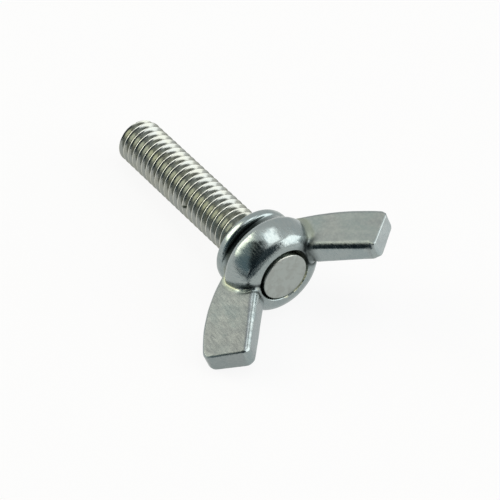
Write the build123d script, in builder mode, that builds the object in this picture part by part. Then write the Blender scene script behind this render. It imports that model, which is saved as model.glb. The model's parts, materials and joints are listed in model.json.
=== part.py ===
from build123d import *
from math import asin, atan2, cos, hypot, radians, sin
import os

# Wing screw, M6 x 25: a fully threaded stud riveted into a cast wing head of the American form.
#
# Screw frame: z runs along the screw's axis, from 0 at the seat face to positive in the head
# and negative down the thread. x runs through both wings and y stands square to their broad
# faces. The screw lies on a level floor as it comes to rest: on the rim of its hub, the end of
# its thread and the tip of the wing on the -x side. The row's origin is the centre of the seat
# face, +Z is up, the thread points along +Y and the raised wing is on the +X side.

# Threaded stud
thread_major = 5.9          # over the crests of an M6 x 1 thread, class 6g
thread_length = 25.0        # seat face to tip
tip_chamfer = 0.65          # 45 degrees
held_diameter = 5.35        # the blank before rolling, held in the head past a 45 degree shoulder
stud_proud = 0.2            # of the head's front face, after riveting
riveted_radius = 3.04       # the end is spread inside the head, below the countersink
riveted_edge = 0.08

# Hub of the wing head, turned form
bead_radius = 0.63          # the flange is a disc with a full round edge, twice this thick
flange_radius = 5.2
neck_radius = 4.3           # floor of the groove between flange and dome
neck_length = 0.42
dome_radius = 6.1           # at the dome's rim
rim_height = 3.1            # of the widest circle, over the seat
rim_round = 0.5
hub_height = 6.8            # seat to front face
dome_front_radius = 4.55    # where the dome would meet the front face
front_round = 1.0           # softens that edge
stud_clearance = 0.03       # radial, stud to bore and to countersink
countersink_radius = 3.48   # at the front face: leaves an open ring round the stud
countersink_depth = 1.0     # where it closes on the spread end, and a 45 degree step leads to the bore

# Wings: outline in the x-z plane and a thickness that tapers outward
wing_root_low = (4.4, 1.67)
wing_back_middle = (8.8, 4.3)
wing_tip_low = (14.07, 9.82)
wing_tip_high = (9.61, 13.1)
wing_front_foot = 3.6       # x at which the front edge crosses the plane of the hub's front face
wing_root_inset = 0.9       # how far the outline runs on inside the hub
wing_half_at_axis = 2.0
wing_half_at_tip = 1.32
tip_corner_low = 0.9
tip_corner_high = 0.8
wing_edge_round = 0.5

# ---- wing outline: an arched back, a straight end and a straight front, with round corners ----
front_rise = wing_tip_high[1] - hub_height
front_run = wing_tip_high[0] - wing_front_foot
wing_root_high = (
    wing_front_foot - wing_root_inset * front_run / front_rise,
    hub_height - wing_root_inset,
)

with BuildSketch() as wing_outline:
    with BuildLine():
        ThreePointArc(wing_root_low, wing_back_middle, wing_tip_low)
        Polyline(wing_tip_low, wing_tip_high, wing_root_high, wing_root_low)
    make_face()
    fillet(vertices().sort_by(Axis.X)[-1], radius=tip_corner_low)
    fillet(vertices().sort_by(Axis.Y)[-1], radius=tip_corner_high)
tip_centre = wing_outline.edges().filter_by(GeomType.CIRCLE).sort_by(Axis.X)[-1].arc_center

# ---- how the screw lies ----
thread_radius = thread_major / 2
thread_edge_z = tip_chamfer - thread_length
rim_centre_radius = dome_radius - rim_round

# Tilt: the floor touches the round of the rim and the shoulder of the thread's chamfer.
reach_z = rim_height - thread_edge_z
reach_r = rim_centre_radius - thread_radius
tilt = atan2(reach_r, reach_z) + asin(rim_round / hypot(reach_z, reach_r))
axis_height = rim_centre_radius * cos(tilt) + rim_round - rim_height * sin(tilt)


def tip_height(roll):
    """Height over the floor of the lower wing's tip, which is round in both directions."""
    across = sin(roll) * cos(tilt)
    half = wing_half_at_axis + (wing_half_at_tip - wing_half_at_axis) * tip_centre.X / wing_tip_low[0]
    inner_corner = (tip_corner_low - wing_edge_round) * hypot(across, sin(tilt))
    inner_half = (half - wing_edge_round) * cos(roll) * cos(tilt)
    centre_height = axis_height + tip_centre.Y * sin(tilt) - tip_centre.X * across
    return centre_height - inner_corner - inner_half - wing_edge_round


# Roll: the screw turns about its axis until that tip meets the floor.
roll, roll_step = 0.0, radians(32)
while roll_step > radians(0.001):
    if tip_height(roll + roll_step) > 0:
        roll += roll_step
    roll_step /= 2

raised = Vector(0, sin(tilt), cos(tilt))
seat = Plane(
    origin=(0, 0, 0),
    x_dir=Vector(1, 0, 0) * cos(roll) + raised * sin(roll),
    z_dir=(0, -cos(tilt), sin(tilt)),
)
section = Plane(origin=seat.origin, x_dir=seat.x_dir, z_dir=-seat.y_dir)
screw_axis = Axis(seat.origin, seat.z_dir)
wing_normal = Axis(seat.origin, seat.y_dir)

# ---- threaded stud: the thread's helix is left plain, at its crest diameter ----
held_radius = held_diameter / 2
shoulder_length = thread_radius - held_radius
stud_top = hub_height + stud_proud
bore_radius = held_radius + stud_clearance
countersink_foot = hub_height - countersink_depth
step_foot = countersink_foot - (riveted_radius - held_radius)

with BuildPart() as threaded_stud:
    with BuildSketch(section):
        with BuildLine():
            Polyline(
                (0, -thread_length),
                (thread_radius - tip_chamfer, -thread_length),
                (thread_radius, thread_edge_z),
                (thread_radius, 0),
                (held_radius, shoulder_length),
                (held_radius, step_foot),
                (riveted_radius, countersink_foot),
                (riveted_radius, stud_top - riveted_edge),
                (riveted_radius - riveted_edge, stud_top),
                (0, stud_top),
                close=True,
            )
        make_face()
    revolve(axis=screw_axis)

# ---- one wing, tapered in thickness and rounded all round ----
with BuildPart() as wing:
    with BuildSketch(section):
        add(wing_outline.sketch)
    extrude(amount=wing_half_at_axis, both=True)
    with BuildSketch(seat):
        Polygon(
            (0, -wing_half_at_axis),
            (wing_tip_low[0], -wing_half_at_tip),
            (wing_tip_low[0], wing_half_at_tip),
            (0, wing_half_at_axis),
            align=None,
        )
    extrude(amount=wing_tip_high[1], mode=Mode.INTERSECT)
    broad_faces = faces().sort_by(wing_normal)
    fillet(broad_faces[0].edges() + broad_faces[-1].edges(), radius=wing_edge_round)

# ---- wing head: flange, groove and domed hub turned in one, with both wings cast on ----
bead_centre_radius = flange_radius - bead_radius
groove_foot = 2 * bead_radius
dome_rise = hub_height - rim_height
dome_run = dome_radius - dome_front_radius
dome_arc = (dome_run ** 2 + dome_rise ** 2) / (2 * dome_run)
dome_middle = (
    dome_radius - dome_arc + (dome_arc ** 2 - (dome_rise / 2) ** 2) ** 0.5,
    rim_height + dome_rise / 2,
)

with BuildPart() as wing_head:
    with BuildSketch(section):
        with BuildLine():
            ThreePointArc(
                (bead_centre_radius, 0),
                (flange_radius, bead_radius),
                (bead_centre_radius, groove_foot),
            )
            Polyline(
                (bead_centre_radius, groove_foot),
                (neck_radius, groove_foot),
                (neck_radius, groove_foot + neck_length),
                (dome_radius, rim_height),
            )
            ThreePointArc(
                (dome_radius, rim_height), dome_middle, (dome_front_radius, hub_height)
            )
            Polyline(
                (dome_front_radius, hub_height), (0, hub_height), (0, 0), (bead_centre_radius, 0)
            )
        make_face()
        fillet(vertices().sort_by(Axis.X)[-1], radius=rim_round)
        fillet(vertices().group_by(Axis.Y)[-1].sort_by(Axis.X)[-1], radius=front_round)
    revolve(axis=screw_axis)
    add(wing.part)
    mirror(wing.part, about=Plane(seat.origin, z_dir=seat.x_dir))
    with BuildSketch(section):
        with BuildLine():
            Polyline(
                (0, 0),
                (thread_radius + stud_clearance, 0),
                (bore_radius, shoulder_length),
                (bore_radius, step_foot),
                (riveted_radius + stud_clearance, countersink_foot),
                (countersink_radius, hub_height),
                (countersink_radius, stud_top),
                (0, stud_top),
                close=True,
            )
        make_face()
    revolve(axis=screw_axis, mode=Mode.SUBTRACT)

os.makedirs("parts", exist_ok=True)
threaded_stud.part.label = "threaded_stud"
export_step(threaded_stud.part, "parts/threaded_stud.step")
wing_head.part.label = "wing_head"
export_step(wing_head.part, "parts/wing_head.step")
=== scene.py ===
"""Wing screw, M6 x 25, at rest on a pale floor: its true thread, cast wings and metal finishes."""

import json
import logging
import math
from dataclasses import dataclass
from enum import Enum

import bpy
import numpy as np
from mathutils import Matrix, Vector


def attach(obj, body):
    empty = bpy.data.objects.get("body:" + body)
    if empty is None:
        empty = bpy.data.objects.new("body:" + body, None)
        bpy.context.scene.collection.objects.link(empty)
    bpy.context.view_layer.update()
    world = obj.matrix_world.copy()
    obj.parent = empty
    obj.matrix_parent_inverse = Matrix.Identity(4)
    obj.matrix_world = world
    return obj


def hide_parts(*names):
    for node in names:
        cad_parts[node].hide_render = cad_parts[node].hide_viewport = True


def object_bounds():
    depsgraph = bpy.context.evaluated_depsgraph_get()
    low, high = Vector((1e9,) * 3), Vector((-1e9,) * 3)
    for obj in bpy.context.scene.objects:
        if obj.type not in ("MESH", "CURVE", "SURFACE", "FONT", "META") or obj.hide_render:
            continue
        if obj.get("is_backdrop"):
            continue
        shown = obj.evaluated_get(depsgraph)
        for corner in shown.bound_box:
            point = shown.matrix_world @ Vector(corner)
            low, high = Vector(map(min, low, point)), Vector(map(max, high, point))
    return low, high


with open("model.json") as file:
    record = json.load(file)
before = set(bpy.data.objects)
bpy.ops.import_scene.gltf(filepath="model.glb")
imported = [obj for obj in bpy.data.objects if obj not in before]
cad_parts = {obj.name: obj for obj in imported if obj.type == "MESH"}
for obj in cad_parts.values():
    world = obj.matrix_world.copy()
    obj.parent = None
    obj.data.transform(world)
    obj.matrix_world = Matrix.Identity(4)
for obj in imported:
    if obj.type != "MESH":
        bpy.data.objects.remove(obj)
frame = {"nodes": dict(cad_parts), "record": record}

Array = np.ndarray
Band = tuple[float, ...]
Point = tuple[float, float]
Triple = tuple[float, float, float]
Colour = tuple[float, float, float, float]

MM = 0.001
RIPPLE_DIRECTIONS = ((1, 0.62, 0.31), (-0.47, 1, 0.55), (0.36, -0.58, 1), (0.91, 0.83, -0.72))
RIPPLE_QUICKENING = 0.27
RIPPLE_SEED_START = 1.7
log = logging.getLogger("wing_screw")


# ---- The screw's own frame ----


@dataclass(frozen=True)
class ScrewFrame:
    """The screw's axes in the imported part's frame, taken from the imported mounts.

    x runs through both wings, y stands square to their broad faces and z runs along the
    screw's axis, from the seat face towards the head's front.
    """

    across: Vector
    normal: Vector
    axis: Vector

    @classmethod
    def from_record(cls, record: dict) -> "ScrewFrame":
        """Read the axes from the mounts.

        Args:
            record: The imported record.

        Returns:
            The screw's frame.
        """
        mounts = {mount["name"]: mount for mount in record["mounts"]}
        axis = -Vector(mounts["thread"]["axis"]).normalized()
        across = Vector(mounts["seat"]["pos_m"])
        across = (across - axis * across.dot(axis)).normalized()
        return cls(across, axis.cross(across), axis)

    def matrix(self) -> Array:
        """Return the 3 by 3 array whose rows are the screw's axes."""
        return np.array([self.across, self.normal, self.axis])

    def to_part(self, points: Array) -> Array:
        """Turn points in the screw's frame, in mm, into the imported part's frame, in metres."""
        return points @ self.matrix() * MM


# ---- Distance functions: negative inside the metal, in mm ----


def common(a: Array, b: Array, rounding: Array | float) -> Array:
    """Return distances to what two solids share, with an edge of that radius between them."""
    corner = np.hypot(np.maximum(a + rounding, 0), np.maximum(b + rounding, 0))
    return np.minimum(np.maximum(a, b), -rounding) + corner


def joined(a: Array, b: Array, fillet: Array | float) -> Array:
    """Unite two solids with a fillet of that radius between them."""
    return -common(-a, -b, fillet)


def smooth_step(band: Band, value: Array) -> Array:
    """Go smoothly from a rest value up to 1 as a value crosses a band.

    Args:
        band: Where the change starts, where it ends and, if it isn't 0, the rest value.
        value: The values that cross it.

    Returns:
        One number for each value.
    """
    start, end, rest = (*band, 0.0)[:3]
    t = np.clip((value - start) / (end - start), 0, 1)
    return rest + (1 - rest) * t * t * (3 - 2 * t)


def ripple(points: Array, wavelength: float, seed: float) -> Array:
    """Return a soft irregular pattern between about -1 and 1.

    Args:
        points: Places, one row each, in mm.
        wavelength: Typical distance between two swells, in mm.
        seed: Shifts the pattern.

    Returns:
        One value for each place.
    """
    total = np.zeros(len(points))
    for number, direction in enumerate(RIPPLE_DIRECTIONS):
        phase = points @ np.array(direction) * 2 * math.pi / wavelength
        shift = seed * (number + RIPPLE_SEED_START)
        total += np.sin(phase * (1 + RIPPLE_QUICKENING * number) + shift)
    return total / len(RIPPLE_DIRECTIONS)


@dataclass(frozen=True)
class Hub:
    """The turned part of the head: flange, groove and dome, all in mm.

    The groove runs out towards both wings, where the neck swells over the bands of x.
    """

    bead_radius: float = 0.63
    bead_power: float = 3.0
    flange_radius: float = 5.2
    neck_radius: float = 4.3
    neck_top: float = 1.68
    neck_swell: float = 0.7
    left_swell: Band = (-1.6, -5.2)
    right_swell: Band = (-0.4, 4.2)
    dome_radius: float = 6.1
    rim_height: float = 3.1
    rim_round: float = 0.5
    height: float = 6.8
    dome_front_radius: float = 4.74
    front_round: float = 0.7
    inner_fillet: float = 0.12
    # Where the groove's painted shade lies: by depth, and weaker towards each side.
    dark_depth: Band = (0.4, 0.85)
    dark_left: Band = (-5.2, -3.0, 0.3)
    dark_right: Band = (3.4, 0.8, 0.3)

    def distance(self, points: Array) -> Array:
        """Measure to the hub's surface.

        Args:
            points: Places in the screw's frame.

        Returns:
            One distance for each place.
        """
        r = np.hypot(points[:, 0], points[:, 1])
        x, z = points[:, 0], points[:, 2]

        # The flange has a full rounded edge, a little squarer than a circle.
        outward = np.maximum(r - (self.flange_radius - self.bead_radius), 0) ** self.bead_power
        upward = np.abs(z - self.bead_radius) ** self.bead_power
        flange = (outward + upward) ** (1 / self.bead_power) - self.bead_radius

        swell = np.maximum(smooth_step(self.left_swell, x), smooth_step(self.right_swell, x))
        neck = r - (self.neck_radius + self.neck_swell * swell)
        neck = np.maximum(neck, np.maximum(self.bead_radius - z, z - self.rim_height))

        # The dome is an arc from its rim to the front face, above a cone from neck to rim.
        rise = self.height - self.rim_height
        run = self.dome_radius - self.dome_front_radius
        arc = (run**2 + rise**2) / (2 * run)
        dome = np.hypot(r - (self.dome_radius - arc), z - self.rim_height) - arc
        cone_run = self.dome_radius - self.neck_radius
        cone_rise = self.rim_height - self.neck_top
        cone = (r - self.neck_radius) * cone_rise - (z - self.neck_top) * cone_run
        cone = cone / math.hypot(cone_rise, cone_run)
        body = common(dome, z - self.height, self.front_round)
        body = common(body, cone, self.rim_round)
        return joined(joined(flange, neck, self.inner_fillet), body, self.inner_fillet)

    def groove(self, points: Array) -> Array:
        """Mark where shade is painted into the groove between flange and dome.

        Args:
            points: Places in the screw's frame.

        Returns:
            For each place how much painted shade it gets, from 0 to 1.
        """
        r = np.hypot(points[:, 0], points[:, 1])
        share = (points[:, 2] - self.bead_radius) / (self.rim_height - self.bead_radius)
        outside = self.flange_radius + (self.dome_radius - self.flange_radius) * share
        deep = smooth_step(self.dark_depth, outside - r) * ((share > 0) & (share < 1))
        x = points[:, 0]
        return deep * smooth_step(self.dark_left, x) * smooth_step(self.dark_right, x)


@dataclass(frozen=True)
class Wing:
    """One wing of the head: an outline in the x-z plane and a tapering thickness, in mm.

    The back edge is an arc through three points; the end and front edges are straight. The
    long edges are rounded more than the end's, and change over bands of length between them.
    """

    side: int
    root_low: Point
    back_middle: Point
    tip_low: Point
    tip_high: Point
    front_foot: Point
    front_round_at_hub: float
    front_round_at_tip: float
    end_round: float
    back_round: float = 0.45
    inner_end: float = 2.9
    half_at_axis: float = 2.0
    half_at_tip: float = 1.32
    tip_corner_low: float = 0.9
    tip_corner_high: float = 0.8
    front_blend: Band = (-1.0, 1.0)
    near_end_blend: Band = (-0.25, 0.25)
    far_end_blend: Band = (-0.1, 1.1)

    def back_circle(self) -> Triple:
        """Find the circle that holds the back edge.

        Returns:
            Its centre's x and z, and its radius.
        """
        (ax, az), (bx, bz), (cx, cz) = self.root_low, self.back_middle, self.tip_low
        twice = 2 * (ax * (bz - cz) + bx * (cz - az) + cx * (az - bz))
        a2, b2, c2 = ax**2 + az**2, bx**2 + bz**2, cx**2 + cz**2
        x = (a2 * (bz - cz) + b2 * (cz - az) + c2 * (az - bz)) / twice
        z = (a2 * (cx - bx) + b2 * (ax - cx) + c2 * (bx - ax)) / twice
        return x, z, math.hypot(ax - x, az - z)

    @staticmethod
    def beyond(x: Array, z: Array, start: Point, end: Point) -> Array:
        """Return how far each place lies to the right of the line from start to end."""
        run, rise = end[0] - start[0], end[1] - start[1]
        return ((x - start[0]) * rise - (z - start[1]) * run) / math.hypot(run, rise)

    def distance(self, points: Array) -> Array:
        """Measure to this wing's surface.

        Args:
            points: Places in the screw's frame.

        Returns:
            One distance for each place.
        """
        x, z = points[:, 0] * self.side, points[:, 2]
        circle_x, circle_z, radius = self.back_circle()
        back = np.hypot(x - circle_x, z - circle_z) - radius
        end = self.beyond(x, z, self.tip_low, self.tip_high)
        front = self.beyond(x, z, self.tip_high, self.front_foot)
        outline = common(common(back, end, self.tip_corner_low), front, self.tip_corner_high)

        taper = (self.half_at_tip - self.half_at_axis) / self.tip_low[0]
        broad = np.abs(points[:, 1]) - (self.half_at_axis + taper * x)
        reach = smooth_step((self.front_foot[0], self.tip_high[0]), x)
        front_round = self.front_round_at_hub
        front_round = front_round + (self.front_round_at_tip - front_round) * reach
        at_front = smooth_step(self.front_blend, front - back)
        rounding = self.back_round + (front_round - self.back_round) * at_front
        past = end - np.maximum(back, front)
        near_end = smooth_step(self.near_end_blend, past)
        at_end = np.where(points[:, 1] < 0, smooth_step(self.far_end_blend, past), near_end)
        rounding = rounding + (self.end_round - rounding) * at_end
        return np.maximum(common(outline, broad, rounding), self.inner_end - x)


@dataclass(frozen=True)
class Bore:
    """The bore for the stud, with a mouth at the seat and an open ring at the front, in mm."""

    radius: float = 2.705
    mouth_radius: float = 2.98
    ring_radius: float = 3.48
    ring_foot_radius: float = 3.07
    ring_depth: float = 1.0
    ring_shift: Point = (0.12, 0.03)
    lip_round: float = 0.07

    def distance(self, points: Array, top: float) -> Array:
        """Measure to the bore's wall.

        Args:
            points: Places in the screw's frame.
            top: Height of the head's front face.

        Returns:
            One distance for each place, negative in the metal round the bore.
        """
        z = points[:, 2]
        foot = top - self.ring_depth
        lean = (self.ring_radius - self.ring_foot_radius) / self.ring_depth
        flare = self.ring_foot_radius + (z - foot) * np.where(z > foot, lean, 1.0)
        opening = np.maximum(np.maximum(self.radius, flare), self.mouth_radius - z)
        off_axis = smooth_step((foot, top), z)[:, None] * np.array(self.ring_shift)
        return opening - np.linalg.norm(points[:, :2] - off_axis, axis=1)


@dataclass(frozen=True)
class Hollows:
    """The hollows beside the wings' front corners, one in the hub and one in each wing.

    A hollow lies where a place is nearer to the hub than to the wing by a set length, in mm.
    On the right side it moves towards the foot of the corner; the left side has its own sizes.
    """

    depth: float = 0.17
    right_from: float = 6.0
    left_from: float = 5.5
    fade: float = 0.6
    width: float = 0.2
    widening: float = 0.1
    wide_band: Band = (0.8, 1.5)
    foot_band: Band = (0.4, -1.0)
    hub_place: float = 0.12
    hub_move: float = 0.25
    wing_place: float = -0.2
    wing_move: float = -0.2
    wing_band: Band = (0.9, 1.5)
    left_hub_place: float = 0.3
    left_hub_band: Band = (0.3, 1.2)
    left_wing_place: float = -0.26
    left_wing_share: float = 0.55
    mean_share: float = 0.85
    unevenness: float = 0.35
    wavelength: float = 1.7
    seed: float = 1.0

    def above_start(self, points: Array) -> Array:
        """Return how far each place lies above the height where its side's hollows start."""
        return points[:, 2] - np.where(points[:, 0] > 0, self.right_from, self.left_from)

    def share(self, points: Array, across: Array) -> Array:
        """Find how far each place lies in the hollows.

        Args:
            points: Places in the screw's frame.
            across: How much nearer each is to the hub than to the wing.

        Returns:
            One share for each place, from 0 to about 1.
        """
        y = points[:, 1]
        on_right = points[:, 0] > 0
        foot = smooth_step(self.foot_band, y)
        at_hub = np.where(on_right, self.hub_place + self.hub_move * foot, self.left_hub_place)
        at_wing = np.where(on_right, self.wing_place + self.wing_move * foot, self.left_wing_place)
        hub_share = np.where(on_right, 1.0, smooth_step(self.left_hub_band, y))
        wing_share = np.maximum(smooth_step(self.wing_band, y), foot)
        wing_share = np.where(on_right, wing_share, self.left_wing_share)
        width = self.width + self.widening * smooth_step(self.wide_band, y) * on_right
        on_hub = np.exp(-(((across - at_hub) / width) ** 2)) * hub_share
        on_wing = np.exp(-(((across - at_wing) / width) ** 2)) * wing_share
        texture = self.mean_share + self.unevenness * ripple(points, self.wavelength, self.seed)
        started = smooth_step((0.0, self.fade), self.above_start(points))
        return np.maximum(on_hub, on_wing) * texture * started


# ---- Shader building ----


class Shade:
    """A number or colour that varies over a surface; arithmetic on it adds nodes."""

    def __init__(self, nodes: "Nodes", socket: bpy.types.NodeSocket) -> None:
        """Wrap one output socket of a node tree."""
        self.nodes = nodes
        self.socket = socket

    def _math(self, operation: str, *values: "Shade | float") -> "Shade":
        """Add a Math node with that operation on these values."""
        inputs = dict(enumerate(values))
        return self.nodes.add("ShaderNodeMath", {"operation": operation}, inputs)[0]

    def __add__(self, other: "Shade | float") -> "Shade":
        """Return self + other."""
        return self._math("ADD", self, other)

    __radd__ = __add__

    def __sub__(self, other: "Shade | float") -> "Shade":
        """Return self - other."""
        return self._math("SUBTRACT", self, other)

    def __rsub__(self, other: float) -> "Shade":
        """Return other - self."""
        return self._math("SUBTRACT", other, self)

    def __mul__(self, other: "Shade | float") -> "Shade":
        """Return self * other."""
        return self._math("MULTIPLY", self, other)

    __rmul__ = __mul__

    def limited(self) -> "Shade":
        """Return self kept between 0 and 1."""
        return self._math("MINIMUM", self._math("MAXIMUM", self, 0.0), 1.0)

    def ramp(self, band: Band) -> "Shade":
        """Return a smooth rise from 0 at the band's first end to 1 at its second."""
        inputs = {"Value": self, "From Min": band[0], "From Max": band[1]}
        return self.nodes.add("ShaderNodeMapRange", {"interpolation_type": "SMOOTHSTEP"}, inputs)[0]


@dataclass(frozen=True)
class Pattern:
    """A cloudy pattern: swells per metre, finer layers, distortion and factors of stretch."""

    scale: float
    detail: float
    distortion: float = 0.0
    stretch: Triple | None = None


class Nodes:
    """Adds nodes to one material's or world's tree."""

    COORDINATES = 3
    NUMBER = 2
    SEEN, GLOSSY, BENT = 0, 3, 6
    MIX_FACTOR, MIX_FIRST, MIX_SECOND, MIXED = 0, 6, 7, 2

    def __init__(self, tree: bpy.types.NodeTree) -> None:
        """Start from an empty tree."""
        self.tree = tree
        tree.nodes.clear()

    def add(
        self, kind: str, settings: dict | None = None, inputs: dict | None = None
    ) -> list[Shade]:
        """Add a node, set its settings, then its values and links.

        Args:
            kind: The node's type.
            settings: Properties of the node, set first.
            inputs: A value or link for each named or numbered input socket.

        Returns:
            The node's outputs.
        """
        node = self.tree.nodes.new(kind)
        for name, value in (settings or {}).items():
            setattr(node, name, value)
        for name, value in (inputs or {}).items():
            if isinstance(value, Shade):
                self.tree.links.new(value.socket, node.inputs[name])
            else:
                node.inputs[name].default_value = value
        return [Shade(self, output) for output in node.outputs]

    def place(self) -> Shade:
        """Return the object's own coordinates, in metres."""
        return self.add("ShaderNodeTexCoord")[self.COORDINATES]

    def field(self, name: str) -> Shade:
        """Return a number stored for each of the mesh's vertices."""
        return self.add("ShaderNodeAttribute", {"attribute_name": name})[self.NUMBER]

    def noise(self, pattern: Pattern, place: Shade) -> Shade:
        """Draw a cloudy pattern.

        Args:
            pattern: Its sizes.
            place: The coordinates that it follows.

        Returns:
            The pattern, between 0 and 1.
        """
        if pattern.stretch:
            factors = {0: place, 1: pattern.stretch}
            place = self.add("ShaderNodeVectorMath", {"operation": "MULTIPLY"}, factors)[0]
        inputs = {"Vector": place, "Scale": pattern.scale, "Detail": pattern.detail}
        inputs["Distortion"] = pattern.distortion
        return self.add("ShaderNodeTexNoise", None, inputs)[0]

    def mix(self, factor: Shade, first: Colour | Shade, second: Colour | Shade) -> Shade:
        """Mix two colours by a factor from 0 to 1."""
        inputs = {self.MIX_FACTOR: factor, self.MIX_FIRST: first, self.MIX_SECOND: second}
        return self.add("ShaderNodeMix", {"data_type": "RGBA"}, inputs)[self.MIXED]

    def seen(self, directly: float, reflected: float) -> Shade:
        """Return one share for the camera's rays, one for reflected or refracted rays, else 0."""
        ray = self.add("ShaderNodeLightPath")
        return ray[self.SEEN] * directly + (ray[self.GLOSSY] + ray[self.BENT]).limited() * reflected

    def metal(self, colour: Shade, roughness: Shade, bump: dict, constants: dict) -> None:
        """Finish the tree with a metal.

        Args:
            colour: Its colour.
            roughness: Its roughness.
            bump: Height, strength and distance of its relief.
            constants: Further values of the shader's own.
        """
        normal = self.add("ShaderNodeBump", None, bump)[0]
        inputs = {"Base Color": colour, "Roughness": roughness, "Normal": normal, "Metallic": 1.0}
        self.finish(self.add("ShaderNodeBsdfPrincipled", None, inputs | constants)[0])

    def finish(self, shader: Shade, kind: str = "ShaderNodeOutputMaterial") -> None:
        """Send a shader to the tree's output."""
        self.add(kind, None, {"Surface": shader})


def new_material(name: str) -> tuple[bpy.types.Material, Nodes]:
    """Make a material with an empty node tree.

    Args:
        name: The material's name.

    Returns:
        The material, and what adds nodes to it.
    """
    material = bpy.data.materials.new(name)
    material.use_nodes = True
    return material, Nodes(material.node_tree)


def tone(red: float, green: float, blue: float) -> Colour:
    """Return an opaque colour."""
    return red, green, blue, 1.0


@dataclass(frozen=True)
class PolishedCasting:
    """Bright plated metal: mirror-smooth where it was buffed, satin on the wings' broad faces.

    Each pair of reliefs is the one on buffed metal and what satin adds to it.
    """

    name: str = "polished_casting"
    colour: Colour = tone(0.32, 0.362, 0.354)
    cloud_colour: Colour = tone(0.278, 0.328, 0.328)
    satin_colour: Colour = tone(0.234, 0.268, 0.266)
    blue_patch: Colour = tone(0.205, 0.252, 0.255)
    grey_patch: Colour = tone(0.24, 0.255, 0.255)
    light_patch: Colour = tone(0.31, 0.338, 0.33)
    # Colour of the painted shade in the hollows, the groove and beside the right wing's root.
    painted_shade_colour: Colour = tone(0.022, 0.03, 0.03)
    root_colour: Colour = tone(0.29, 0.32, 0.255)
    # Colour of the painted highlights: the line along the left wing's root and the glints on the
    # ring's lower lip.
    painted_glint_colour: Colour = tone(0.78, 0.8, 0.6)
    left_wing_shade_colour: Colour = tone(0.08, 0.08, 0.105)
    clouds: Pattern = Pattern(420.0, 3.0)
    grain: Pattern = Pattern(3200.0, 2.0)
    strokes: Pattern = Pattern(4600.0, 2.0, 0.3, (1.0, 0.2, 0.9))
    pits: Pattern = Pattern(1500.0, 3.0)
    patches: Pattern = Pattern(300.0, 4.0, 1.2)
    drift: Pattern = Pattern(230.0, 3.0, 0.8, (1.1, 0.9, 1.0))
    blue_band: Band = (0.45, 0.7)
    grey_band: Band = (0.45, 0.68)
    patch_share: float = 0.7
    speckle_band: Band = (0.4, 0.64)
    speckle_share: float = 0.8
    light_band: Band = (0.5, 0.8)
    light_share: float = 0.6
    buffed_band: Band = (0.42, 0.6)
    buffed_roughness: float = 0.2
    satin_roughness: float = 0.42
    stroke_middle: float = 0.45
    stroke_roughness: float = 0.4
    mark_roughness: float = 0.3
    root_roughness: float = 0.45
    grain_relief: Band = (0.1, 0.3)
    pit_relief: Band = (0.5, 0.2)
    cloud_relief: float = 1.2
    stroke_relief: float = 0.85
    bump_strength: float = 0.14
    bump_distance: float = 0.00006

    def material(self) -> bpy.types.Material:
        """Build the material.

        Returns:
            The finished material.
        """
        material, nodes = new_material(self.name)
        place = nodes.place()
        patterns = (self.clouds, self.grain, self.strokes, self.pits)
        clouds, grain, strokes, pits = [nodes.noise(pattern, place) for pattern in patterns]
        names = ("satin", "painted_shade", "root", "painted_glint")
        satin, painted_shade, root, painted_glint = [nodes.field(name) for name in names]

        blue = nodes.noise(self.patches, place).ramp(self.blue_band) * self.patch_share
        colour = nodes.mix(blue, self.satin_colour, self.blue_patch)
        grey = nodes.noise(self.drift, place).ramp(self.grey_band) * self.patch_share
        colour = nodes.mix(grey, colour, self.grey_patch)
        speckles = (pits * 0.4 + grain * 0.6).ramp(self.speckle_band) * self.speckle_share
        light = (clouds.ramp(self.light_band) * self.light_share + speckles).limited()
        colour = nodes.mix(light * self.light_share, colour, self.light_patch)
        # Painted shade: the left wing's broad faces are darkened.
        colour = nodes.mix(nodes.field("left_wing_shade"), colour, self.left_wing_shade_colour)
        shine = (clouds * 0.5 + strokes * 0.5).ramp(self.buffed_band)
        buffed = nodes.mix(shine, self.colour, self.cloud_colour)
        colour = nodes.mix(satin, buffed, colour)
        colour = nodes.mix(root, colour, self.root_colour)
        # Painted highlights: a bright line along the left wing's root and broken glints on the lower
        # lip of the ring round the riveted end.
        colour = nodes.mix(painted_glint, colour, self.painted_glint_colour)
        # Painted shade: the hollows, the groove and the front face beside the right wing's root are
        # darkened nearly to black.
        colour = nodes.mix(painted_shade, colour, self.painted_shade_colour)

        spread = self.satin_roughness - self.buffed_roughness
        roughness = satin * spread + (strokes - self.stroke_middle) * self.stroke_roughness
        roughness = roughness + (painted_shade + painted_glint) * self.mark_roughness
        roughness = roughness + root * self.root_roughness + self.buffed_roughness
        height = grain * (satin * self.grain_relief[1] + self.grain_relief[0])
        height = height + pits * (satin * self.pit_relief[1] + self.pit_relief[0])
        height = height + clouds * self.cloud_relief
        height = height + strokes * (1.0 - satin) * self.stroke_relief
        bump = {"Height": height, "Strength": self.bump_strength, "Distance": self.bump_distance}
        nodes.metal(colour, roughness, bump, {})
        return material


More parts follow.
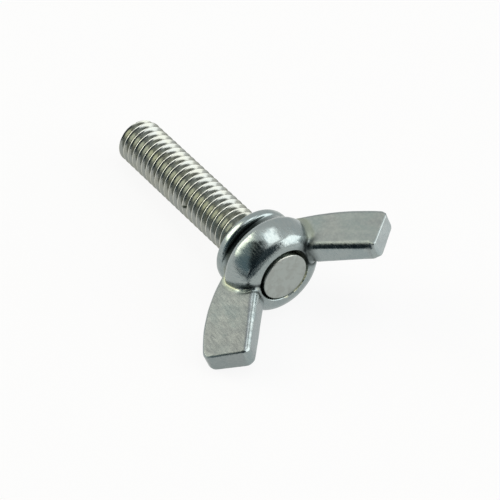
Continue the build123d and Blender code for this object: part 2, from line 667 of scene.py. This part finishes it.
@dataclass(frozen=True)
class RolledThread:
    """Rolled and plated steel: mirror flanks, painted highlights on the crests, a satin riveted end.
    """

    name: str = "rolled_thread"
    colour: Colour = tone(0.325, 0.343, 0.322)
    warm_colour: Colour = tone(0.335, 0.347, 0.308)
    crest_highlight_colour: Colour = tone(0.66, 0.67, 0.6)
    nick_shade_colour: Colour = tone(0.03, 0.04, 0.025)
    end_colour: Colour = tone(0.415, 0.45, 0.425)
    end_patch: Colour = tone(0.375, 0.4, 0.375)
    edge_tint: Colour = tone(0.12, 0.13, 0.12)
    clouds: Pattern = Pattern(380.0, 3.0)
    streaks: Pattern = Pattern(2600.0, 2.0)
    brushed: Pattern = Pattern(900.0, 4.0, 1.0)
    warm_band: Band = (0.45, 0.6)
    patch_band: Band = (0.45, 0.62)
    thread_roughness: float = 0.2
    end_roughness: float = 0.45
    streak_roughness: float = 0.08
    streak_relief: float = 0.4
    bump_strength: float = 0.1
    bump_distance: float = 0.00006

    def material(self) -> bpy.types.Material:
        """Build the material.

        Returns:
            The finished material.
        """
        material, nodes = new_material(self.name)
        place = nodes.place()
        riveted = nodes.field("riveted")
        patterns = (self.clouds, self.streaks, self.brushed)
        clouds, streaks, brushed = [nodes.noise(pattern, place) for pattern in patterns]
        colour = nodes.mix(clouds.ramp(self.warm_band), self.colour, self.warm_colour)
        end = nodes.mix(brushed.ramp(self.patch_band), self.end_colour, self.end_patch)
        colour = nodes.mix(riveted, colour, end)
        # Painted highlights: the thread's crests and a glint on the riveted end's upper rim are
        # brightened.
        colour = nodes.mix(nodes.field("crest"), colour, self.crest_highlight_colour)
        # Painted shade: the nick is coloured nearly black.
        colour = nodes.mix(nodes.field("nick"), colour, self.nick_shade_colour)
        spread = self.end_roughness - self.thread_roughness
        roughness = riveted * spread + (streaks - 0.5) * self.streak_roughness
        roughness = roughness + self.thread_roughness
        height = streaks * self.streak_relief + brushed * riveted
        bump = {"Height": height, "Strength": self.bump_strength, "Distance": self.bump_distance}
        nodes.metal(colour, roughness, bump, {"Specular Tint": self.edge_tint})
        return material


# ---- The two pieces of the screw ----


def mesh_object(name: str, mesh: bpy.types.Mesh) -> bpy.types.Object:
    """Link a new object that holds a mesh.

    Args:
        name: The object's name.
        mesh: The mesh.

    Returns:
        The new object.
    """
    piece = bpy.data.objects.new(name, mesh)
    bpy.context.scene.collection.objects.link(piece)
    return piece


def modified_mesh(piece: bpy.types.Object) -> bpy.types.Mesh:
    """Return a new mesh with the object's modifiers applied."""
    depsgraph = bpy.context.evaluated_depsgraph_get()
    return bpy.data.meshes.new_from_object(piece.evaluated_get(depsgraph))


def smooth_shade(mesh: bpy.types.Mesh) -> None:
    """Shade all the mesh's faces smooth."""
    mesh.polygons.foreach_set("use_smooth", np.ones(len(mesh.polygons), dtype=bool))


@dataclass(frozen=True)
class Mark:
    """A change of finish: a share times a smooth step over a band for each named measure.

    A mark may also be in proportion to one measure. Its field takes the greatest of the marks
    of that name, up to 1.
    """

    field: str
    steps: tuple[tuple[str, Band], ...] = ()
    share: float = 1.0
    in_proportion_to: str = ""

    def values(self, measures: dict[str, Array]) -> Array:
        """Return the mark at each vertex."""
        steps = [smooth_step(band, measures[name]) for name, band in self.steps]
        return math.prod(steps, start=measures.get(self.in_proportion_to, 1.0) * self.share)


def set_fields(
    mesh: bpy.types.Mesh, marks: tuple[Mark, ...], measures: dict[str, Array]
) -> None:
    """Store the fields that the finish reads, one number for each vertex.

    Args:
        mesh: The mesh that gets them.
        marks: The marks that make them up.
        measures: What the marks depend on, at each vertex.
    """
    for name in dict.fromkeys(mark.field for mark in marks):
        values = [mark.values(measures) for mark in marks if mark.field == name]
        highest = np.clip(np.maximum.reduce(values), 0, 1)
        layer = mesh.attributes.new(name, "FLOAT", "POINT")
        layer.data.foreach_set("value", highest.astype(np.float32).ravel())


ON_LEFT = ("x", (0.0, -1.0))
ON_RIGHT = ("x", (0.0, 1.0))
ON_WING = ("from_hub", (0.15, 0.6))
OFF_WING = ("from_hub", (0.6, 0.15))
BROAD = ("facing_side", (0.8, 0.97))
RIGHT_ROOT = (ON_RIGHT, ("from_root", (1.6, 0.3)))
# Where the painted glints lie on the lower lip of the ring round the riveted end.
LOWER_LIP_GLINTS = (
    ("from_lip", (0.13, 0.05)),
    ("z", (6.44, 6.46)),
    ("turn", (-118.0, -100.0)),
    ("turn", (-30.0, -48.0)),
)
# Where a painted glint lies on the riveted end's upper rim.
UPPER_RIM_GLINT = (
    ("radius", (2.92, 2.97)),
    ("z", (6.88, 6.95)),
    ("turn", (40.0, 60.0)),
    ("turn", (125.0, 95.0)),
)
HEAD_MARKS = (
    Mark("satin", (ON_WING, BROAD)),
    Mark("satin", (ON_WING, ("facing_end", (0.5, 0.594)), ("reach", (8.5, 9.2))), 0.6),
    # Painted shade on the left wing's broad faces.
    Mark("left_wing_shade", (ON_WING, BROAD, ON_LEFT), 0.34),
    Mark("root", (ON_RIGHT, ("from_root", (0.95, 0.3)), ("z", (6.6, 6.0))), 0.7),
    Mark("root", (ON_LEFT, ("from_root", (0.7, 0.15)), ("z", (5.6, 4.8))), 0.6),
    # Painted shade: in the hollows, in the groove off the wings and on the front face beside the
    # right wing's root.
    Mark("painted_shade", (), 1.2, "hollow"),
    Mark("painted_shade", (OFF_WING,), 1.0, "groove"),
    Mark("painted_shade", (*RIGHT_ROOT, ("y", (-1.6, -0.6)), ("z", (6.0, 6.6))), 0.6),
    # Painted highlights: the bright line along the left wing's root, fading towards the front, and
    # broken glints on the ring's lower lip.
    Mark("painted_glint", (ON_LEFT, ("from_root", (0.1, 0.02)), ("y", (0.9, 1.3)), ("z", (5.9, 5.2, 0.25)))),
    Mark("painted_glint", (*LOWER_LIP_GLINTS, ("specks", (-0.15, 0.2)))),
)
STUD_MARKS = (
    Mark("riveted", (("z", (6.85, 6.97)),)),
    # Painted highlights on the thread's crests and on the riveted end's upper rim.
    Mark("crest", (("below_crest", (0.05, 0.005)), ("z", (0.0, -0.001)))),
    Mark("crest", UPPER_RIM_GLINT),
    # Painted shade in the nick.
    Mark("nick", (), 1.5, "nick"),
)


@dataclass(frozen=True)
class WingHead:
    """The cast head: hub and both wings, with the bore for the stud.

    Its net of facets settles on the distance functions' zero, in rounds of fitting and evening.
    """

    hub: Hub = Hub()
    bore: Bore = Bore()
    hollows: Hollows = Hollows()
    marks: tuple[Mark, ...] = HEAD_MARKS
    right_wing: Wing = Wing(
        side=1,
        root_low=(4.4, 1.56),
        back_middle=(9.3, 4.95),
        tip_low=(13.96, 9.93),
        tip_high=(9.46, 12.91),
        front_foot=(3.74, 6.8),
        front_round_at_hub=0.95,
        front_round_at_tip=1.0,
        end_round=0.16,
    )
    left_wing: Wing = Wing(
        side=-1,
        root_low=(4.4, 1.75),
        back_middle=(8.28, 3.66),
        tip_low=(14.07, 9.71),
        tip_high=(9.76, 13.2),
        front_foot=(3.44, 6.8),
        front_round_at_hub=1.0,
        front_round_at_tip=0.66,
        end_round=0.3,
    )
    right_fillet: float = 0.6
    left_fillet: float = 0.1
    front_fillet: float = 0.1
    fillet_fade: float = 1.0
    lump_place: Triple = (-3.85, 1.5, 6.2)
    lump_radius: float = 0.62
    lump_fillet: float = 0.12
    swells: tuple[Triple, ...] = ((5.5, 2.0, 0.016), (2.1, 4.0, 0.0064))
    facet: float = 0.104
    settle_rounds: int = 4
    fit_steps: int = 4
    least_steepness: float = 0.2
    evening: float = 0.6
    lip_inset: float = 0.02
    speck_wavelength: float = 1.1
    speck_seed: float = 3.0

    def surfaces(self, points: Array) -> dict[str, Array]:
        """Measure to what the head is made of.

        Args:
            points: Places in the screw's frame.

        Returns:
            Distances to the hub, to the nearer wing and to the whole head, and how far each
            place lies in a hollow.
        """
        hub = self.hub.distance(points)
        wing = np.minimum(self.right_wing.distance(points), self.left_wing.distance(points))
        above = self.hollows.above_start(points) + self.hollows.fade
        fillet = np.where(points[:, 0] > 0, self.right_fillet, self.left_fillet)
        fillet = fillet + (self.front_fillet - fillet) * smooth_step((0.0, self.fillet_fade), above)
        lump = np.linalg.norm(points - np.array(self.lump_place), axis=1) - self.lump_radius
        body = joined(joined(hub, wing, fillet), lump, self.lump_fillet)
        hollow = self.hollows.share(points, wing - hub)
        body = body + self.hollows.depth * hollow
        body = common(body, self.bore.distance(points, self.hub.height), self.bore.lip_round)
        for wavelength, seed, height in self.swells:
            body = body + height * ripple(points, wavelength, seed)
        return {"hub": hub, "wing": wing, "hollow": hollow, "head": body}

    def slope(self, points: Array, reach: float = 0.01) -> Array:
        """Find the gradient of the head's distance.

        Args:
            points: Places in the screw's frame.
            reach: Length over which it is measured, either way.

        Returns:
            The gradient, one row for each place.
        """
        columns = []
        for step in np.eye(3) * reach:
            ahead, behind = self.surfaces(points + step), self.surfaces(points - step)
            columns.append((ahead["head"] - behind["head"]) / (2 * reach))
        return np.stack(columns, axis=1)

    def fitted(self, points: Array) -> Array:
        """Move points onto the head's surface by a few Newton steps.

        Args:
            points: Places in the screw's frame.

        Returns:
            The moved places.
        """
        for _ in range(self.fit_steps):
            gradient = self.slope(points)
            steepness = np.maximum((gradient**2).sum(axis=1), self.least_steepness)
            step = self.surfaces(points)["head"] / steepness
            points = points - gradient * np.clip(step, -self.facet, self.facet)[:, None]
        return points

    def evened(self, points: Array, edges: Array) -> Array:
        """Pull each point towards the middle of its neighbours, to even out the facets.

        Args:
            points: Places in the screw's frame.
            edges: Pairs of neighbours.

        Returns:
            The moved places.
        """
        total = np.zeros_like(points)
        for first, second in (edges.T, edges.T[::-1]):
            np.add.at(total, first, points[second])
        count = np.bincount(edges.ravel(), minlength=len(points))
        return points + (total / count[:, None] - points) * self.evening

    def rough_mesh(self, screw: ScrewFrame, node: bpy.types.Object) -> bpy.types.Mesh:
        """Cover the CAD head with an even net of small facets.

        Args:
            screw: The screw's frame.
            node: The CAD node that the head replaces.

        Returns:
            The net, in the screw's frame, in mm.
        """
        mesh = node.data.copy()
        mesh.transform(Matrix.Scale(1 / MM, 4))
        mesh.transform(Matrix([screw.across, screw.normal, screw.axis]).to_4x4())
        start = mesh_object("rough_head", mesh)
        net = start.modifiers.new("net", "REMESH")
        net.mode = "VOXEL"
        net.voxel_size = self.facet
        result = modified_mesh(start)
        bpy.data.objects.remove(start)
        return result

    def measures(self, points: Array) -> dict[str, Array]:
        """Work out what the head's marks depend on.

        Args:
            points: Its vertices, in the screw's frame.

        Returns:
            Each measure by name, one number for each vertex.
        """
        parts, slope = self.surfaces(points), self.slope(points)
        x, y, z = points.T
        forward = smooth_step((0.0, 0.5), slope[:, 2])
        return {
            "x": x,
            "y": y,
            "z": z,
            "reach": np.abs(x),
            "turn": np.degrees(np.arctan2(y, x)),
            "facing_side": np.abs(slope[:, 1]),
            "facing_end": np.abs(slope[:, 0]) * forward,
            "from_hub": parts["hub"],
            "from_root": np.hypot(np.maximum(parts["hub"], 0), np.maximum(parts["wing"], 0)),
            "from_lip": np.abs(np.hypot(x, y) - self.bore.ring_radius + self.lip_inset),
            "hollow": parts["hollow"],
            "groove": self.hub.groove(points),
            "specks": ripple(points, self.speck_wavelength, self.speck_seed),
        }

    def build(self, screw: ScrewFrame, node: bpy.types.Object) -> bpy.types.Object:
        """Make the head's mesh.

        Args:
            screw: The screw's frame.
            node: The CAD node that the head replaces.

        Returns:
            The new piece.
        """
        mesh = self.rough_mesh(screw, node)
        points = np.zeros(len(mesh.vertices) * 3)
        mesh.vertices.foreach_get("co", points)
        points = points.reshape(-1, 3)
        edges = np.zeros(len(mesh.edges) * 2, dtype=np.int64)
        mesh.edges.foreach_get("vertices", edges)
        for _ in range(self.settle_rounds):
            points = self.evened(self.fitted(points), edges.reshape(-1, 2))
        points = self.fitted(points)
        mesh.vertices.foreach_set("co", screw.to_part(points).ravel())
        set_fields(mesh, self.marks, self.measures(points))
        smooth_shade(mesh)
        mesh.update()
        return mesh_object("polished_wing_head", mesh)


@dataclass(frozen=True)
class ThreadedStud:
    """The stud: a right-hand M6 x 1 thread, a held end inside the head and its riveted end.

    Lengths are in mm and angles in degrees. The tip and the end are closed by rings at shares
    of their radius.
    """

    major_radius: float = 2.95
    pitch: float = 1.0
    length: float = 25.0
    tip_chamfer: float = 0.65
    tip_shares: tuple[float, ...] = (0.02, 0.3, 0.6, 0.85)
    thread_depth: float = 0.613
    crest_start: float = 0.193
    crest_flat: float = 0.12
    crest_blur: float = 0.02
    blur_steps: tuple[float, ...] = (-1.5, -0.5, 0.5, 1.5)
    flank_run: float = 0.354
    flank_start: float = 0.012
    crest_points: int = 4
    flank_points: int = 6
    root_points: int = 4
    around: int = 144
    held_radius: float = 2.675
    rivet_foot: float = 5.4
    riveted_radius: float = 3.03
    riveted_edge: float = 0.13
    edge_steps: int = 4
    stud_top: float = 7.0
    end_shares: tuple[float, ...] = (0.8, 0.6, 0.4, 0.2, 0.02)
    nick_angle: float = 154.1
    nick_height: float = -10.14
    nick_depth: float = 0.14
    nick_width: float = 0.15
    nick_length: float = 0.22
    marks: tuple[Mark, ...] = STUD_MARKS
    weld: float = 0.0005
    sharp_angle: float = 40.0

    def profile(self, place: Array) -> Array:
        """Find how far the thread's surface lies below its crest.

        Args:
            place: Position along the axis, in mm, where whole pitches are crests.

        Returns:
            The depth in mm.
        """
        total = np.zeros_like(place)
        for step in self.blur_steps:
            shifted = place + step * self.crest_blur
            off_crest = np.abs(shifted - np.round(shifted / self.pitch) * self.pitch)
            down = (off_crest - self.crest_flat / 2) / self.flank_run
            total += np.clip(down, 0, 1) * self.thread_depth
        return total / len(self.blur_steps)

    def turn_places(self) -> Array:
        """Place the thread's points along one pitch: crest, flank, root and flank.

        Returns:
            Their positions, in mm from the crest's middle.
        """
        half = self.crest_flat / 2 + self.crest_blur
        foot = half + self.flank_run
        start = half + self.flank_start
        crest = np.linspace(-half, half, self.crest_points)
        down = np.linspace(start, foot, self.flank_points)
        root = np.linspace(foot, self.pitch - foot, self.root_points)[1:]
        up = np.linspace(self.pitch - foot, self.pitch - start, self.flank_points)[1:]
        return np.concatenate([crest, down, root, up])

    def nick(self, angles: Array, heights: Array) -> Array:
        """Mark the small nick across one flank: 1 in its middle, falling to 0 round it."""
        around = (angles - math.radians(self.nick_angle)) * self.major_radius / self.nick_width
        return np.exp(-(around**2) - ((heights - self.nick_height) / self.nick_length) ** 4)

    def end_rings(self) -> list[Point]:
        """List the rings from the seat face to the middle of the riveted end.

        Returns:
            Each ring's height and radius.
        """
        shoulder = self.major_radius - self.held_radius
        spread = self.riveted_radius - self.held_radius
        rings = [
            (0.0, self.major_radius - self.thread_depth),
            (0.0, self.major_radius),
            (shoulder, self.held_radius),
            (self.rivet_foot, self.held_radius),
            (self.rivet_foot + spread, self.riveted_radius),
        ]
        for step in range(self.edge_steps + 1):
            turn = step / self.edge_steps * math.pi / 2
            inset = self.riveted_edge * (1 - math.cos(turn))
            drop = self.riveted_edge * (1 - math.sin(turn))
            rings.append((self.stud_top - drop, self.riveted_radius - inset))
        flat = self.riveted_radius - self.riveted_edge
        return rings + [(self.stud_top, flat * share) for share in self.end_shares]

    def grid(self) -> tuple[Array, Array, Array]:
        """Lay out the stud's points in rows, from the tip to the riveted end.

        The thread's rows follow the helix for one turn each. The others are rings.

        Returns:
            Their angles, heights and radii.
        """
        turns = int(self.length / self.pitch) + 2
        places = self.turn_places()
        rises = np.concatenate([places + turn * self.pitch for turn in range(-turns, 1)])
        angle = np.linspace(0, 2 * math.pi, self.around, endpoint=False)
        angles, rises = np.meshgrid(angle, rises)
        helix = self.crest_start + self.pitch * angles / (2 * math.pi)
        heights = np.clip(helix + rises, -self.length, 0.0)
        radii = self.major_radius - self.profile(heights - helix)
        tip_radius = self.major_radius - self.tip_chamfer
        radii = np.minimum(radii, tip_radius + (heights + self.length))
        radii = radii - self.nick_depth * self.nick(angles, heights)

        columns = np.ones((1, self.around))
        tip = np.array([(-self.length, tip_radius * share) for share in self.tip_shares])
        end = np.array(self.end_rings())
        heights = np.concatenate([tip[:, :1] * columns, heights, end[:, :1] * columns])
        radii = np.concatenate([tip[:, 1:] * columns, radii, end[:, 1:] * columns])
        return np.repeat(angles[:1], len(heights), axis=0), heights, radii

    def faces(self, rows: int) -> list[list[int]]:
        """Join the grid's points: four to a face, and a cap at each end.

        The thread's last column joins the row one turn on, since its rows climb with the helix.

        Args:
            rows: Number of rows in the grid.

        Returns:
            The numbers of each face's vertices.
        """
        index = np.arange(rows * self.around).reshape(rows, self.around)
        after = np.roll(index, -1, axis=1)
        first = len(self.tip_shares)
        last = rows - len(self.end_rings()) - 1
        next_turn = np.arange(first, last + 1) + len(self.turn_places())
        after[first : last + 1, -1] = index[np.minimum(next_turn, last), 0]
        quads = np.stack([index[:-1], after[:-1], after[1:], index[1:]], axis=2)
        return quads.reshape(-1, 4).tolist() + [index[0][::-1].tolist(), index[-1].tolist()]

    def build(self, screw: ScrewFrame) -> bpy.types.Object:
        """Make the stud's mesh.

        Args:
            screw: The screw's frame.

        Returns:
            The new piece.
        """
        angles, heights, radii = self.grid()
        points = np.stack([radii * np.cos(angles), radii * np.sin(angles), heights], axis=2)
        mesh = bpy.data.meshes.new("threaded_stud")
        mesh.from_pydata(screw.to_part(points.reshape(-1, 3)), [], self.faces(len(heights)))

        measures = {
            "z": heights,
            "radius": radii,
            "below_crest": self.major_radius - radii,
            "turn": np.degrees(angles),
            "nick": self.nick(angles, heights),
        }
        set_fields(mesh, self.marks, measures)
        return self.cleaned(mesh)

    def cleaned(self, mesh: bpy.types.Mesh) -> bpy.types.Object:
        """Weld rings that fell together at the ends and shade the stud smooth.

        Args:
            mesh: The stud's mesh.

        Returns:
            The piece that holds it.
        """
        piece = mesh_object("rolled_thread_stud", mesh)
        weld = piece.modifiers.new("weld", "WELD")
        weld.merge_threshold = self.weld * MM
        piece.data = modified_mesh(piece)
        piece.modifiers.clear()
        smooth_shade(piece.data)
        piece.data.set_sharp_from_angle(angle=math.radians(self.sharp_angle))
        return piece


def dress(piece: bpy.types.Object, finish: PolishedCasting | RolledThread) -> None:
    """Give a piece its finish and no other."""
    piece.data.materials.clear()
    piece.data.materials.append(finish.material())


# ---- The studio ----

WHITE = tone(1.0, 1.0, 1.0)
WARM = tone(1.0, 0.96, 0.74)
COOL = tone(0.6, 0.85, 1.0)
PALE_COOL = tone(0.66, 0.9, 1.0)
DEEP_COOL = tone(0.5, 0.8, 1.0)


def rectangle(
    name: str, width: float, height: float, material: bpy.types.Material
) -> bpy.types.Object:
    """Make a rectangle that faces up, with its middle at the origin.

    Args:
        name: The object's name.
        width: Its size along x.
        height: Its size along y.
        material: Its material.

    Returns:
        The new object.
    """
    x, y = width / 2, height / 2
    mesh = bpy.data.meshes.new(name)
    mesh.from_pydata([(-x, -y, 0), (x, -y, 0), (x, y, 0), (-x, y, 0)], [], [(0, 1, 2, 3)])
    mesh.materials.append(material)
    return mesh_object(name, mesh)


def direction(azimuth: float, elevation: float) -> Vector:
    """Return the unit vector at an azimuth from +Y towards +X and an elevation, in degrees."""
    turn, rise = math.radians(azimuth), math.radians(elevation)
    return Vector((math.sin(turn) * math.cos(rise), math.cos(turn) * math.cos(rise), math.sin(rise)))


class Panel(Enum):
    """What a panel of the studio does."""

    LAMP = "lamp"
    FLAG = "flag"
    MAT = "mat"


@dataclass(frozen=True)
class StudioPanel:
    """A soft lamp, a flag or a mat, at an azimuth and elevation in degrees and a distance.

    Azimuth 0 is towards +Y and 90 towards +X. Lamps and flags face the screw, after a turn
    about their own normal; a mat lies on the floor. Only reflections see flags and mats. A
    strength of 1 is white.
    """

    name: str
    kind: Panel
    azimuth: float
    elevation: float
    distance: float
    width: float
    height: float
    strength: float
    colour: Colour = WHITE
    turn: float = 0.0
    mat_gap: float = 0.1 * MM

    def place(self, lowest: float) -> Matrix:
        """Work out where the panel stands.

        Args:
            lowest: Height of the floor, on which a mat lies.

        Returns:
            The place, facing the screw, or facing up for a mat.
        """
        away = direction(self.azimuth, self.elevation)
        if self.kind is Panel.MAT:
            centre = away * self.distance + Vector((0, 0, lowest + self.mat_gap))
            return Matrix.Translation(centre) @ Matrix.Rotation(-math.radians(self.azimuth), 4, "Z")
        facing = away.to_track_quat("Z", "Y").to_matrix().to_4x4()
        turned = Matrix.Rotation(math.radians(self.turn), 4, "Z")
        return Matrix.Translation(away * self.distance) @ facing @ turned

    def build(self, lowest: float) -> None:
        """Add the panel to the scene, over a floor at that height."""
        add = self.add_lamp if self.kind is Panel.LAMP else self.add_flag
        add(self.place(lowest))

    def add_lamp(self, place: Matrix) -> None:
        """Add a rectangular lamp.

        Args:
            place: Where it stands.
        """
        lamp = bpy.data.lights.new(self.name, "AREA")
        lamp.shape = "RECTANGLE"
        lamp.size = self.width
        lamp.size_y = self.height
        lamp.energy = self.strength * math.pi * self.width * self.height
        lamp.color = self.colour[:3]
        holder = bpy.data.objects.new(self.name, lamp)
        bpy.context.scene.collection.objects.link(holder)
        holder.matrix_world = place
        holder.visible_camera = False

    def add_flag(self, place: Matrix) -> None:
        """Add a flag or mat that only reflections see.

        Args:
            place: Where it stands or lies.
        """
        material, nodes = new_material(self.name)
        inputs = {"Color": self.colour, "Strength": self.strength}
        nodes.finish(nodes.add("ShaderNodeEmission", None, inputs)[0])
        flag = rectangle(self.name, self.width, self.height, material)
        flag.matrix_world = place
        for rays in ("camera", "diffuse", "shadow", "transmission"):
            setattr(flag, f"visible_{rays}", False)
        flag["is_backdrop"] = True


@dataclass(frozen=True)
class Studio:
    """Floor, world, lamps, flags and camera. Sizes are in metres, and the lens in mm."""

    floor_size: float = 6.0
    floor_colour: Colour = tone(0.86, 0.86, 0.86)
    floor_glow: float = 0.89
    floor_glow_reflected: float = 0.7
    world_light: float = 0.3
    world_reflected: float = 0.84
    camera_azimuth: float = 318.8
    camera_elevation: float = 43.55
    camera_roll: float = 9.67
    camera_distance: float = 0.3278
    camera_aim: Triple = (-0.00031, -0.00028, -0.00043)
    camera_lens: float = 198.78
    camera_sensor: float = 36.0
    camera_nearest: float = 0.01
    panels: tuple[StudioPanel, ...] = (
        StudioPanel("ceiling_lamp", Panel.LAMP, 90.0, 84.0, 0.8, 0.54, 0.42, 1.9),
        StudioPanel("left_lamp", Panel.LAMP, -47.5, 32.0, 0.8, 0.59, 0.64, 3.1, WARM, 8.0),
        StudioPanel("right_lamp", Panel.LAMP, 127.0, 20.0, 0.8, 0.78, 0.98, 2.0),
        StudioPanel("dark_side", Panel.FLAG, -144.0, 28.0, 0.6, 0.62, 0.76, 0.08, COOL),
        StudioPanel("grey_side", Panel.FLAG, -94.0, 30.0, 0.06, 0.0497, 0.068, 0.3, PALE_COOL),
        StudioPanel("camera_flag", Panel.FLAG, -177.0, 20.0, 0.5, 0.46, 0.52, 0.07, COOL),
        StudioPanel(
            "edge_flag", Panel.FLAG, -123.6, 37.0, 0.0305, 0.017, 0.046, 0.03, DEEP_COOL, 21.5
        ),
        StudioPanel("front_mat", Panel.MAT, -138.0, 0.0, 0.13, 0.15, 0.19, 0.1, COOL),
        StudioPanel("floor_card", Panel.MAT, 106.0, 0.0, 0.05, 0.06, 0.05, 1.2),
    )

    def build(self, lowest: float) -> None:
        """Build the studio.

        Args:
            lowest: Height of the screw's lowest point, where the floor lies.
        """
        self.add_floor(lowest)
        self.add_world()
        for panel in self.panels:
            panel.build(lowest)
        self.add_camera()

    def add_floor(self, lowest: float) -> None:
        """Lay the pale floor: white to the eye where nothing shades it.

        Args:
            lowest: Its height.
        """
        material, nodes = new_material("pale_floor")
        diffuse = nodes.add("ShaderNodeBsdfDiffuse", None, {"Color": self.floor_colour})[0]
        glow = nodes.add("ShaderNodeEmission", None, {"Color": WHITE})[0]
        factor = nodes.seen(self.floor_glow, self.floor_glow_reflected)
        mixed = nodes.add("ShaderNodeMixShader", None, {0: factor, 1: diffuse, 2: glow})[0]
        nodes.finish(mixed)
        floor = rectangle("floor", self.floor_size, self.floor_size, material)
        floor.location.z = lowest
        floor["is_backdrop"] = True

    def add_world(self) -> None:
        """Light the screw evenly from a white surround."""
        world = bpy.data.worlds.new("surround")
        bpy.context.scene.world = world
        world.use_nodes = True
        nodes = Nodes(world.node_tree)
        shown = nodes.seen(1.0 - self.world_light, self.world_reflected - self.world_light)
        inputs = {"Color": WHITE, "Strength": shown + self.world_light}
        shader = nodes.add("ShaderNodeBackground", None, inputs)[0]
        nodes.finish(shader, "ShaderNodeOutputWorld")

    def add_camera(self) -> None:
        """Stand the camera at its azimuth, elevation, distance and roll about its aim."""
        look = -direction(-self.camera_azimuth + 180.0, self.camera_elevation)
        data = bpy.data.cameras.new("camera")
        data.lens = self.camera_lens
        data.sensor_width = self.camera_sensor
        data.clip_start = self.camera_nearest
        camera = bpy.data.objects.new("camera", data)
        bpy.context.scene.collection.objects.link(camera)
        turn = look.to_track_quat("-Z", "Y").to_matrix().to_4x4()
        roll = Matrix.Rotation(math.radians(self.camera_roll), 4, "Z")
        stand = Vector(self.camera_aim) - look * self.camera_distance
        camera.matrix_world = Matrix.Translation(stand) @ turn @ roll
        bpy.context.scene.camera = camera
        bpy.context.scene.view_settings.view_transform = "Standard"


def report(piece: bpy.types.Object) -> None:
    """Log a piece's name and number of triangles."""
    triangles = sum(len(face.vertices) - 2 for face in piece.data.polygons)
    log.info("%s: %d triangles", piece.name, triangles)


def main() -> None:
    """Build the screw and the studio in order."""
    logging.basicConfig(level=logging.INFO, format="%(message)s")
    cad_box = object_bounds()
    screw = ScrewFrame.from_record(frame["record"])

    head_piece = WingHead().build(screw, frame["nodes"]["wing_head"])
    dress(head_piece, PolishedCasting())
    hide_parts("wing_head")

    stud_piece = ThreadedStud().build(screw)
    dress(stud_piece, RolledThread())
    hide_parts("threaded_stud")

    for piece in (head_piece, stud_piece):
        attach(piece, "root")
        report(piece)

    Studio().build(cad_box[0][2])


if __name__ == "__main__":
    main()
